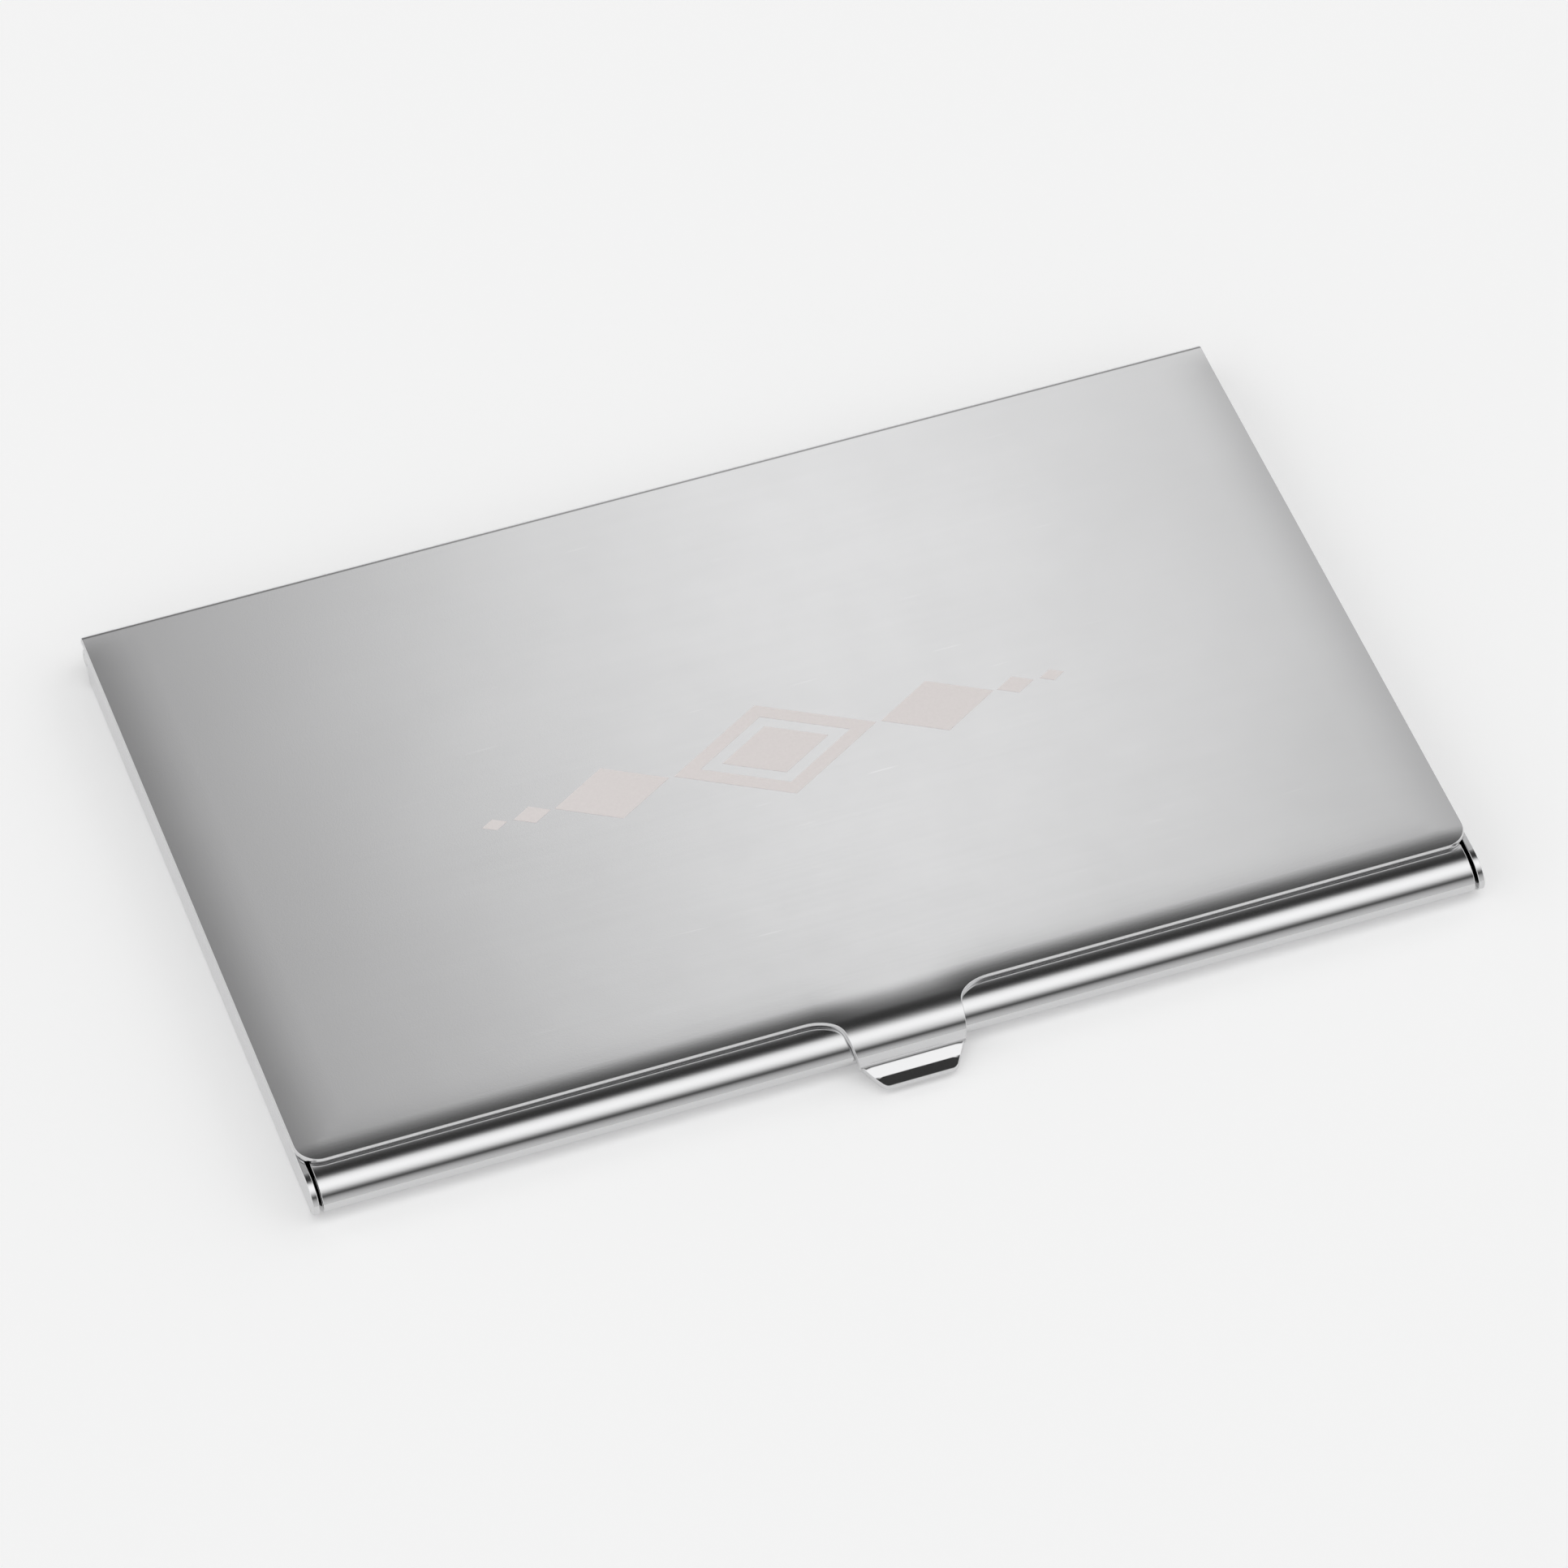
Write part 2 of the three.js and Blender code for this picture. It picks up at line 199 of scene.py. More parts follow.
def bent_sheet(name, loops, grid, chains, place, thickness, edge, relief=None, lean=0.0, **looks):
    """A closed sheet. The blank's loops and inner points are triangulated flat, placed in space, and given
    rounded cut edges. place(points) returns the outer face's points and outward normals."""
    loops = [clean(loop) for loop in loops]
    loops = [loop if (signed_area(loop) > 0) == (i == 0) else loop[::-1] for i, loop in enumerate(loops)]
    outward = [miters(loop) for loop in loops]
    insets = [loop - (edge + lean) * m for loop, (m, _) in zip(loops, outward)]
    grid = np.asarray(grid, float).reshape(-1, 2)
    keep = inside(grid, insets) & (distance_to(grid, insets)[0] > GRID_CLEARANCE)
    number = np.cumsum(keep) - 1
    base = sum(len(loop) for loop in insets)
    links, at = [], 0
    for loop in insets:
        links += [(at + i, at + (i + 1) % len(loop)) for i in range(len(loop))]
        at += len(loop)
    links += [(int(base + number[a]), int(base + number[b])) for a, b in chains if keep[a] and keep[b]]
    points = np.vstack(insets + [grid[keep]])
    flat, _, tris, source, _, _ = delaunay_2d_cdt([Vector(p) for p in points], links, [], 0, 1e-6)
    flat = np.array([[p.x, p.y] for p in flat])
    tris = np.array([t for t in tris if len(t) == 3])
    tris = tris[inside(flat[tris].mean(1), insets)]
    where = {}
    for i, merged in enumerate(source):
        for k in merged:
            where[k] = i

    def skin(p, depth):
        """Points at a depth under the outer face, its normals with their relief, and its plain normals."""
        outer, n = place(p)
        if relief is None:
            return outer - depth[:, None] * n, n, n
        drop, slope = relief(p)
        share = np.clip(1 - depth / thickness, 0, 1)
        du, dv = ((place(p + step)[0] - place(p - step)[0]) / (2 * PROBE) for step in PROBE * np.eye(2))
        tilted = n + slope[:, :1] * du + slope[:, 1:] * dv
        tilted /= np.linalg.norm(tilted, axis=1)[:, None]
        return outer - (depth + drop * share)[:, None] * n, tilted, n

    count = len(flat)
    top, top_n, _ = skin(flat, np.zeros(count))
    bottom, _, bottom_n = skin(flat, np.full(count, thickness))
    verts, normals = [top, bottom], [top_n, -bottom_n]
    faces = []
    a, b, c = (top[tris[:, k]] for k in range(3))
    flip = (np.cross(b - a, c - a) * top_n[tris].mean(1)).sum(1) < 0
    upper = np.where(flip[:, None], tris[:, ::-1], tris)
    faces += upper.tolist()
    faces += (upper[:, ::-1] + count).tolist()
    at, start = 2 * count, 0
    for loop, (miter, mean) in zip(loops, outward):
        n_pts = len(loop)
        ring = np.array([where[start + i] for i in range(n_pts)])
        start += n_pts
        rings = [ring]
        for setback, depth, t, sign in edge_profile(thickness, edge, lean):
            p = loop - setback * miter
            pos, tilted, n = skin(p, np.full(n_pts, depth))
            out = place(p + PROBE * mean)[0] - place(p - PROBE * mean)[0]
            out /= np.maximum(np.linalg.norm(out, axis=1), 1e-12)[:, None]
            face_n = tilted if sign > 0 else -n
            normal = face_n * math.cos(t) + out * math.sin(t)
            verts.append(pos)
            normals.append(normal / np.linalg.norm(normal, axis=1)[:, None])
            rings.append(np.arange(at, at + n_pts))
            at += n_pts
        rings.append(ring + count)
        for r0, r1 in zip(rings, rings[1:]):
            for i in range(n_pts):
                j = (i + 1) % n_pts
                faces.append([r0[i], r1[i], r1[j], r0[j]])
    verts, normals = np.vstack(verts), np.vstack(normals)
    # the strips face the way that their normals do
    strip_from = 2 * len(tris)
    quads = np.array(faces[strip_from:])
    q = verts[quads]
    facing = np.cross(q[:, 2] - q[:, 0], q[:, 3] - q[:, 1])
    if (facing * normals[quads].mean(1)).sum() < 0:
        faces[strip_from:] = quads[:, ::-1].tolist()
    return finish_mesh(name, verts, faces, normals, **looks)


def rows(us, vs, along_u=True):
    """A grid of points, and the links along one of its directions."""
    us, vs = np.asarray(us, float), np.asarray(vs, float)
    points = np.array([[u, v] for v in vs for u in us])
    links, n = [], len(us)
    for j in range(len(vs)):
        for i in range(n):
            k = j * n + i
            if along_u and i + 1 < n:
                links.append((k, k + 1))
            if not along_u and j + 1 < len(vs):
                links.append((k, k + n))
    return points, links


def gather(*grids):
    points, links, at = [], [], 0
    for p, l in grids:
        points.append(p)
        links += [(a + at, b + at) for a, b in l]
        at += len(p)
    return np.vstack(points), links


def arc(centre, radius, start, end, step=8.0):
    n = max(2, math.ceil(abs(end - start) / step))
    t = np.radians(np.linspace(start, end, n + 1))
    rx, ry = (radius, radius) if np.isscalar(radius) else radius
    return [(centre[0] + rx * math.cos(a), centre[1] + ry * math.sin(a)) for a in t]


def run(p, q, step):
    n = max(1, math.ceil(math.dist(p, q) / step))
    return [(p[0] + (q[0] - p[0]) * i / n, p[1] + (q[1] - p[1]) * i / n) for i in range(n + 1)]


# ---------------------------------------------------------------- materials


class Nodes:
    """Short hand for building a node tree."""

    def __init__(self, tree):
        self.tree = tree
        self.tree.nodes.clear()

    def add(self, kind, values=None, **settings):
        node = self.tree.nodes.new(kind)
        for key, value in settings.items():
            setattr(node, key, value)
        for key, value in (values or {}).items():
            socket = node.inputs[key]
            if isinstance(value, bpy.types.NodeSocket):
                self.tree.links.new(value, socket)
            else:
                socket.default_value = value
        return node

    def math(self, operation, a, b=None, clamp=False):
        values = {0: a} if b is None else {0: a, 1: b}
        return self.add("ShaderNodeMath", values, operation=operation, use_clamp=clamp).outputs[0]

    def ramp(self, value, stops):
        node = self.add("ShaderNodeValToRGB", {"Fac": value})
        while len(node.color_ramp.elements) < len(stops):
            node.color_ramp.elements.new(0.5)
        for element, (position, colour) in zip(node.color_ramp.elements, stops):
            element.position = position
            element.color = (*colour, 1) if not np.isscalar(colour) else (colour, colour, colour, 1)
        return node.outputs["Color"]


SCRATCH_DEPTH = 0.35  # as a share of the grain's height
GRAIN_REACH = 0.00001  # metres that a full step of the grain stands for


def steel(name, tint, rough, grain_depth):
    """Satin steel: a fine bead-blasted grain, soft mottling in its gloss, and sparse hairline scratches."""
    material = bpy.data.materials.new(name)
    material.use_nodes = True
    n = Nodes(material.node_tree)
    place = n.add("ShaderNodeTexCoord").outputs["Object"]
    fine = n.add("ShaderNodeTexNoise", {"Vector": place, "Scale": 9000.0, "Detail": 3.0, "Roughness": 0.6})
    cloud = n.add("ShaderNodeTexNoise", {"Vector": place, "Scale": 230.0, "Detail": 5.0, "Roughness": 0.6})
    wide = n.add("ShaderNodeTexNoise", {"Vector": place, "Scale": 45.0, "Detail": 2.0})
    stretched = n.add(
        "ShaderNodeMapping", {"Vector": place, "Rotation": (0, 0, 0.09), "Scale": (60.0, 2600.0, 2600.0)}
    )
    hair = n.add("ShaderNodeTexNoise", {"Vector": stretched.outputs[0], "Scale": 1.0, "Detail": 2.0})
    crossed = n.add(
        "ShaderNodeMapping", {"Vector": place, "Rotation": (0, 0, 1.1), "Scale": (150.0, 4200.0, 4200.0)}
    )
    nick = n.add("ShaderNodeTexNoise", {"Vector": crossed.outputs[0], "Scale": 1.0, "Detail": 1.0})
    scratch = n.ramp(nick.outputs["Fac"], [(0.0, 0.0), (0.765, 0.0), (0.80, 1.0), (1.0, 1.0)])
    gloss = n.ramp(cloud.outputs["Fac"], [(0.25, rough - 0.006), (0.75, rough + 0.006)])
    gloss = n.math("ADD", gloss, n.math("MULTIPLY", hair.outputs["Fac"], 0.014))
    gloss = n.math("SUBTRACT", gloss, n.math("MULTIPLY", scratch, 0.04))
    darker, lighter = [c * 0.975 for c in tint], [c * 1.02 for c in tint]
    shade = n.ramp(wide.outputs["Fac"], [(0.3, darker), (0.7, lighter)])
    height = n.math("ADD", fine.outputs["Fac"], n.math("MULTIPLY", hair.outputs["Fac"], 0.6))
    height = n.math("SUBTRACT", height, n.math("MULTIPLY", scratch, SCRATCH_DEPTH))
    bump = n.add("ShaderNodeBump", {"Height": height, "Strength": grain_depth, "Distance": GRAIN_REACH})
    shader = n.add(
        "ShaderNodeBsdfPrincipled",
        {"Base Color": shade, "Metallic": 1.0, "Roughness": gloss, "Normal": bump.outputs[0]},
    )
    n.add("ShaderNodeOutputMaterial", {"Surface": shader.outputs[0]})
    return material


def pale_print(name):
    """The pale, slightly pink, matt mark on the lid."""
    material = bpy.data.materials.new(name)
    material.use_nodes = True
    n = Nodes(material.node_tree)
    place = n.add("ShaderNodeTexCoord").outputs["Object"]
    fine = n.add("ShaderNodeTexNoise", {"Vector": place, "Scale": 5000.0, "Detail": 3.0})
    colour = n.ramp(fine.outputs["Fac"], [(0.3, (0.90, 0.845, 0.83)), (0.7, (0.93, 0.875, 0.86))])
    bump = n.add("ShaderNodeBump", {"Height": fine.outputs["Fac"], "Strength": 0.3, "Distance": GRAIN_REACH})
    shader = n.add(
        "ShaderNodeBsdfPrincipled",
        {"Base Color": colour, "Metallic": 0.0, "Roughness": 0.55, "Normal": bump.outputs[0]},
    )
    n.add("ShaderNodeOutputMaterial", {"Surface": shader.outputs[0]})
    return material


SATIN = steel("satin_steel", (0.66, 0.66, 0.665), 0.13, 0.08)
POLISHED = steel("polished_steel", (0.70, 0.70, 0.70), 0.10, 0.05)
SPRING = steel("spring_steel", (0.50, 0.485, 0.46), 0.20, 0.1)
PRINT = pale_print("pale_print")

# ---------------------------------------------------------------- lid

HALF = float(lid_high[0])
ORNAMENT_ROOM = 0.014  # the lid's top lies this far under the CAD box, and the ornament in between
LID_TOP = float(lid_high[2]) - ORNAMENT_ROOM
REAR_Y = float(lid_high[1])
LIP_END_Y = float(lid_low[1])
CAD_SHEET = 0.48
LID_SHEET = CAD_SHEET - ORNAMENT_ROOM
LID_EDGE, LID_EDGE_LEAN = 0.025, 0.085  # round of its cut edges, and how far their upper half leans back
FRONT_Y = -24.8
CUT_Y = FRONT_Y - 0.12  # foot of the leaning front edge
TAB_HALF, TAB_LOW = 4.65, 4.3
FILLET = (2.65, 1.78)
LIP_HALF, LIP_END_HALF = 4.0, 2.85
LIP_CORNER, LIP_ROOT = 0.28, 0.16
TAB_BENDS = [(36, 3), (20, 0.8), (7.3, 10.9), (3.8, 17), (2.0, 7.3), (1.67, 7.2), (0.95, 26.8)]
REAR_BEND, FLANGE = 0.8, 1.75
TAB_WALL = 0.6
LIP_BENDS = [(0.4, -53), (0.8,), (0.4, -12), (1.2,)]
TAB_BEND_Y = FRONT_Y + 1.585

lid_runs = [
    (FLANGE - REAR_BEND,),
    (REAR_BEND, 90),
    (REAR_Y - REAR_BEND - TAB_BEND_Y,),
    *TAB_BENDS,
    (TAB_WALL,),
    *LIP_BENDS,
]
lid_section = Section([REAR_Y, LID_TOP - FLANGE], 90, lid_runs)
RUN_WALL = 3 + len(TAB_BENDS)
S_TOP = lid_section.s0[2]
S_WALL, S_LIP, S_FOLD = lid_section.s0[RUN_WALL : RUN_WALL + 3]


def lid_place(p):
    pos, angle = lid_section(p[:, 1])
    points = np.stack([p[:, 0], pos[:, 0], pos[:, 1]], 1)
    normals = np.stack([np.zeros(len(p)), np.sin(angle), -np.cos(angle)], 1)
    return points, normals


s_table = np.linspace(0, lid_section.s0[-1], 8000)
y_table = lid_section(s_table)[0][:, 0]


def s_at(y):
    """Where the walk first reaches y, from the rear to the front."""
    return float(np.interp(-y, -y_table[S_TOP <= s_table], s_table[S_TOP <= s_table]))


def lid_outline():
    front_corner, rear_corner = 1.9, 0.35
    right = run((0, 0), (HALF - rear_corner, 0), 4)[1:]
    for s in lid_section.stations(0, 2, 9):
        y = lid_section([s])[0][0, 0]
        right.append((HALF - max(0.0, rear_corner - (REAR_Y - y)), s))
    s_front = s_at(CUT_Y)
    right += run((HALF, S_TOP + 0.3), (HALF, s_front - front_corner), 2.0)
    right += arc((HALF - front_corner, s_front - front_corner), front_corner, 0, 90, 6)
    right += run((HALF - front_corner, s_front), (TAB_HALF + FILLET[0], s_front), 1.6)
    tab_y = CUT_Y - FILLET[1]
    for t in np.radians(np.linspace(90, 180, 13)):
        y = tab_y + FILLET[1] * math.sin(t)
        right.append((TAB_HALF + FILLET[0] + FILLET[0] * math.cos(t), s_at(y)))
    s_tab = s_at(tab_y)
    for s in np.linspace(s_tab, S_LIP, 22)[1:]:
        right.append((TAB_HALF + (TAB_LOW - TAB_HALF) * (s - s_tab) / (S_LIP - s_tab), s))
    s_end = s_at(LIP_END_Y)
    right += arc((LIP_HALF + 0.14, S_LIP + LIP_ROOT), LIP_ROOT, 0, 90, 30)[1:]
    right.append((LIP_HALF, S_FOLD - 0.05))
    slope = (LIP_END_HALF - LIP_HALF) / (s_end - S_FOLD)
    right += run((LIP_HALF, S_FOLD), (LIP_END_HALF - slope * LIP_CORNER, s_end - LIP_CORNER), 0.2)
    right += [(LIP_END_HALF - 0.06, s_end - 0.07), (LIP_END_HALF - LIP_CORNER, s_end)]
    right += run((LIP_END_HALF - LIP_CORNER, s_end), (0, s_end), 0.6)[1:-1]
    left = [(-x, s) for x, s in right[::-1]]
    return np.array([(0.0, 0.0)] + right + [(0.0, s_end)] + left)


lid_loop = clean(lid_outline())
EDGE_FALL = math.radians(1.83)  # slope of the top at its cut edges
FALL_WIDTH, FALL_POWER = 5.0, 2.1


def lid_relief(p):
    """The top rolls off gently towards its cut edges, and not on the rear bend or down the tab."""
    distance, direction = distance_to(p, [lid_loop])
    share = np.clip((p[:, 1] - S_TOP) / 2.0, 0, 1) * np.clip((s_at(FRONT_Y) + 1.9 - p[:, 1]) / 1.7, 0.0, 1)
    t = np.clip(1 - distance / FALL_WIDTH, 0, 1)
    drop = EDGE_FALL * FALL_WIDTH / (FALL_POWER + 1) * t ** (FALL_POWER + 1) * share
    slope = -EDGE_FALL * t**FALL_POWER * share
    return drop, slope[:, None] * direction


rim_us = np.array([43.4, 44.4, 45.2, 45.9])
side_us = np.concatenate([-rim_us[::-1], np.arange(-42, 42.1, 3.0), rim_us])
tab_us = np.linspace(-6.9, 6.9, 24)
s_edge, s_outer_lip = s_at(FRONT_Y), lid_section.s0[RUN_WALL + 4]
lid_rows = [
    rows(side_us, lid_section.stations(0, 2, 9)[1:]),
    rows(side_us, np.concatenate([[S_TOP + 0.5, S_TOP + 1.2], np.arange(S_TOP + 3, s_edge - 7, 3.0)])),
    rows(side_us, [s_edge - d for d in (5.2, 4.5, 3.8, 3.1, 2.5, 2.0, 1.6)]),
    rows(side_us, [s_edge - d for d in (1.25, 0.95, 0.7, 0.45)]),
    rows(np.concatenate([side_us[side_us < -8], tab_us, side_us[side_us > 8]]), [s_edge - 0.22]),
    rows(tab_us, np.linspace(s_edge + 0.1, S_WALL, 34)),
    rows(np.linspace(-4.1, 4.1, 18), np.linspace(S_WALL + 0.15, S_LIP, 5)),
    rows(np.linspace(-3.8, 3.8, 16), lid_section.stations(RUN_WALL + 1, RUN_WALL + 4, 8)[1:]),
    rows(np.linspace(-3.6, 3.6, 14), np.linspace(s_outer_lip + 0.2, lid_section.s0[-1] - 0.1, 3)),
]
lid_grid, lid_links = gather(*lid_rows)
bent_sheet(
    "lid_sheet", [lid_loop], lid_grid, lid_links, lid_place, LID_SHEET, LID_EDGE,
    lean=LID_EDGE_LEAN, relief=lid_relief,
    material=SATIN, body="lid", slot="satin_steel", replaces=["lid"],
)

# ---------------------------------------------------------------- tray

TRAY_SHEET = 0.5
TRAY_EDGE = 0.08
WALL_TOP = float(tray_high[2]) - 0.05  # leaves a fine dark seam under the lid
SIDE_BEND = 0.55
U_FLAT = HALF - SIDE_BEND
ARC = SIDE_BEND * math.pi / 2
ROLL_Y, ROLL_REACH, ROLL_TOP_Y = -25.36, 2.46, -24.9
ROLL_GAP, SLIT_END_Y = 0.27, -24.0  # the open slit beside the roll
TONGUE_HALF = HALF - TRAY_SHEET - ROLL_GAP
HEEL_Y, HEEL_R = 26.9, 1.3
HINGE = (28.65, 2.25)
LUG_R = WALL_TOP - HINGE[1]
REAR_WALL_Y, REAR_WALL_BEND, REAR_WALL_TOP, REAR_WALL_HALF = 27.8, 0.6, 2.75, 41.0
ROLL_TAIL = 0.5  # flat run behind the roll's top

# the roll's section: a quarter oval under the nose, and a longer one above it that starts under the lid
t_oval = np.linspace(0, math.pi, 2001)
oval_reach = np.where(t_oval < math.pi / 2, ROLL_REACH, ROLL_REACH + ROLL_TOP_Y - ROLL_Y)
oval_centre = np.where(t_oval < math.pi / 2, ROLL_Y, ROLL_TOP_Y)
oval = np.stack([oval_centre - oval_reach * np.sin(t_oval), WALL_TOP / 2 * (1 - np.cos(t_oval))], 1)
oval_normal = np.stack([-np.sin(t_oval) / oval_reach, -np.cos(t_oval) / (WALL_TOP / 2)], 1)
oval_normal /= np.linalg.norm(oval_normal, axis=1)[:, None]
oval_length = np.concatenate([[0], np.cumsum(np.linalg.norm(np.diff(oval, axis=0), axis=1))])
roll_stations = np.interp(np.linspace(0, math.pi, 31), t_oval, oval_length)
V_TAIL = ROLL_Y - oval_length[-1] - ROLL_TAIL
V_REAR = REAR_WALL_Y - REAR_WALL_BEND
rear_section = Section([V_REAR, 0], 0, [(REAR_WALL_BEND, 90), (REAR_WALL_TOP - REAR_WALL_BEND,)])


def tray_place(p):
    u, v = p[:, 0], p[:, 1]
    points = np.stack([u, v, np.zeros(len(p))], 1)
    normals = np.tile([0.0, 0.0, -1.0], (len(p), 1))
    # roll
    m = (v < ROLL_Y) & (np.abs(u) < U_FLAT - 0.05)
    along = ROLL_Y - v[m]
    beyond = np.maximum(along - oval_length[-1], 0)
    points[m, 1] = np.interp(along, oval_length, oval[:, 0]) + beyond
    points[m, 2] = np.interp(along, oval_length, oval[:, 1])
    ny, nz = (np.interp(along, oval_length, oval_normal[:, k]) for k in (0, 1))
    normals[m] = np.stack([0 * ny, ny, nz], 1)
    # rear wall
    m = (v > V_REAR) & (np.abs(u) < U_FLAT - 0.05) & (np.abs(u) < REAR_WALL_HALF + 1)
    pos, angle = rear_section(v[m] - V_REAR)
    points[m, 1], points[m, 2] = pos[:, 0], pos[:, 1]
    normals[m] = np.stack([np.zeros(m.sum()), np.sin(angle), -np.cos(angle)], 1)
    # side bends and walls
    m = np.abs(u) >= U_FLAT
    side, over = np.sign(u[m]), np.abs(u[m]) - U_FLAT
    a = np.clip(over / SIDE_BEND, 0, math.pi / 2)
    points[m, 0] = side * (U_FLAT + SIDE_BEND * np.sin(a))
    points[m, 2] = SIDE_BEND * (1 - np.cos(a)) + np.maximum(over - ARC, 0)
    normals[m] = np.stack([side * np.sin(a), 0 * a, -np.cos(a)], 1)
    return points, normals


def u_at(z):
    if z >= SIDE_BEND:
        return U_FLAT + ARC + z - SIDE_BEND
    return U_FLAT + SIDE_BEND * math.acos(1 - z / SIDE_BEND)


def tray_outline():
    slit_r = (U_FLAT - TONGUE_HALF) / 2
    slit_y = SLIT_END_Y - slit_r
    # the walk follows the edge counter-clockwise, from the middle of the roll's tail along the right half
    right = run((0, V_TAIL), (TONGUE_HALF, V_TAIL), 4)[1:]
    right += [(TONGUE_HALF, ROLL_Y - s) for s in roll_stations[::-1]]
    right += run((TONGUE_HALF, ROLL_Y), (TONGUE_HALF, slit_y), 0.5)[1:]
    right += arc((TONGUE_HALF + slit_r, slit_y), slit_r, 180, 0, 30)[1:]
    right += run((U_FLAT, slit_y), (U_FLAT, ROLL_Y), 0.4)[1:]
    for t in np.radians(np.linspace(0, 180, 37))[1:]:
        z = WALL_TOP / 2 * (1 - math.cos(t))
        right.append((u_at(z), ROLL_Y - ROLL_REACH * math.sin(t)))
    right += run((u_at(WALL_TOP), ROLL_Y), (u_at(WALL_TOP), HINGE[0]), 2.5)[1:]
    neck = math.degrees(math.acos((HEEL_Y + HEEL_R - HINGE[0]) / LUG_R))
    for a in np.radians(np.linspace(90, -neck, 22))[1:]:
        right.append((u_at(HINGE[1] + LUG_R * math.sin(a)), HINGE[0] + LUG_R * math.cos(a)))
    for a in np.radians(np.linspace(0, -90, 16)):
        right.append((u_at(HEEL_R + HEEL_R * math.sin(a)), HEEL_Y + HEEL_R * math.cos(a)))
    relief = 0.25
    right += run((U_FLAT, HEEL_Y), (REAR_WALL_HALF + relief, HEEL_Y), 1.0)[1:]
    right += arc((REAR_WALL_HALF + relief, HEEL_Y + relief), relief, -90, -180, 30)[1:]
    rear_end = V_REAR + rear_section.s0[-1]
    corner = 0.8
    right += [(REAR_WALL_HALF, V_REAR + s) for s in rear_section.stations(0, 1, 10)]
    straight_from = V_REAR + rear_section.s0[1]
    right += run((REAR_WALL_HALF, straight_from), (REAR_WALL_HALF, rear_end - corner), 0.4)[1:]
    right += arc((REAR_WALL_HALF - corner, rear_end - corner), corner, 0, 90, 15)[1:]
    right += run((REAR_WALL_HALF - corner, rear_end), (0, rear_end), 3)[1:-1]
    left = [(-x, v) for x, v in right[::-1]]
    return np.array([(0.0, V_TAIL)] + right + [(0.0, rear_end)] + left)


def circle(centre, radius, n=28):
    t = np.linspace(0, 2 * math.pi, n + 1)[:-1]
    return np.stack([centre[0] + radius * np.cos(t), centre[1] + radius * np.sin(t)], 1)


RIVET = (43.9, 17.6)
PIN_HOLE_R, RIVET_HOLE_R = 0.47, 0.62
tray_holes = [circle((side * u_at(HINGE[1]), HINGE[0]), PIN_HOLE_R) for side in (-1, 1)]
tray_holes += [circle((side * RIVET[0], RIVET[1]), RIVET_HOLE_R) for side in (-1, 1)]
wide_us = np.arange(-45, 45.1, 3.0)
bend_us = [U_FLAT + SIDE_BEND * math.radians(a) for a in range(0, 91, 10)]
wall_us = [u_at(z) for z in (0.9, 1.5, 2.1, 2.7)]
nose_vs, lug_vs = np.arange(-27.6, -23.6, 0.35), np.arange(24.5, 29.6, 0.4)
wall_vs = np.concatenate([nose_vs, np.arange(-23.2, 24, 2.5), lug_vs])
side_columns = [rows([side * u for u in bend_us + wall_us], wall_vs, False) for side in (-1, 1)]
tray_grid, tray_links = gather(
    rows(wide_us, [ROLL_Y - s for s in roll_stations]),
    rows(wide_us, [V_TAIL + 0.45]),
    rows(wide_us, np.arange(-23.0, 26, 3.0)),
    rows(wide_us[1:-1], [V_REAR + s for s in rear_section.stations(0, 1, 10)]),
    rows(wide_us[2:-2], [V_REAR + rear_section.s0[1] + 0.8]),
    *side_columns,
)
bent_sheet(
    "tray_sheet", [tray_outline()] + tray_holes, tray_grid, tray_links, tray_place, TRAY_SHEET, TRAY_EDGE,
    material=SATIN, body="tray", slot="satin_steel", replaces=["base_shell"],
)

# ---------------------------------------------------------------- small parts inside


SHARP_ANGLE, SMOOTH_ANGLE = math.radians(40), math.radians(38)


def softened(node, radius, material, body):
    """A stamped or turned part with its sharp edges rounded."""
    shape = bmesh.new()
    shape.from_mesh(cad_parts[node].data)
    bmesh.ops.remove_doubles(shape, verts=shape.verts, dist=1e-7)
    bmesh.ops.dissolve_limit(shape, angle_limit=math.radians(1), verts=shape.verts, edges=shape.edges)
    sharp = [e for e in shape.edges if len(e.link_faces) == 2 and e.calc_face_angle(0) > SHARP_ANGLE]
    bmesh.ops.bevel(
        shape, geom=sharp, offset=radius * MM, segments=2, profile=0.5, affect="EDGES", clamp_overlap=True
    )
    bmesh.ops.triangulate(shape, faces=shape.faces)
    mesh = bpy.data.meshes.new(node + "_finished")
    shape.to_mesh(mesh)
    shape.free()
    mesh.polygons.foreach_set("use_smooth", [True] * len(mesh.polygons))
    mesh.set_sharp_from_angle(angle=SMOOTH_ANGLE)
    mesh.materials.clear()
    mesh.materials.append(material)
    piece = bpy.data.objects.new(node + "_finished", mesh)
    bpy.context.scene.collection.objects.link(piece)
    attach(piece, body)
    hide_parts(node)


softened("card_lifter", 0.06, SATIN, "lifter")
for side in ("left", "right"):
    softened("hinge_ear_" + side, 0.03, SATIN, "lid")
    softened("hinge_pin_" + side, 0.04, POLISHED, "tray")
    softened("snap_spring_" + side, 0.02, SPRING, "tray")
    softened("spring_rivet_" + side, 0.06, POLISHED, "tray")

# ---------------------------------------------------------------- ornament


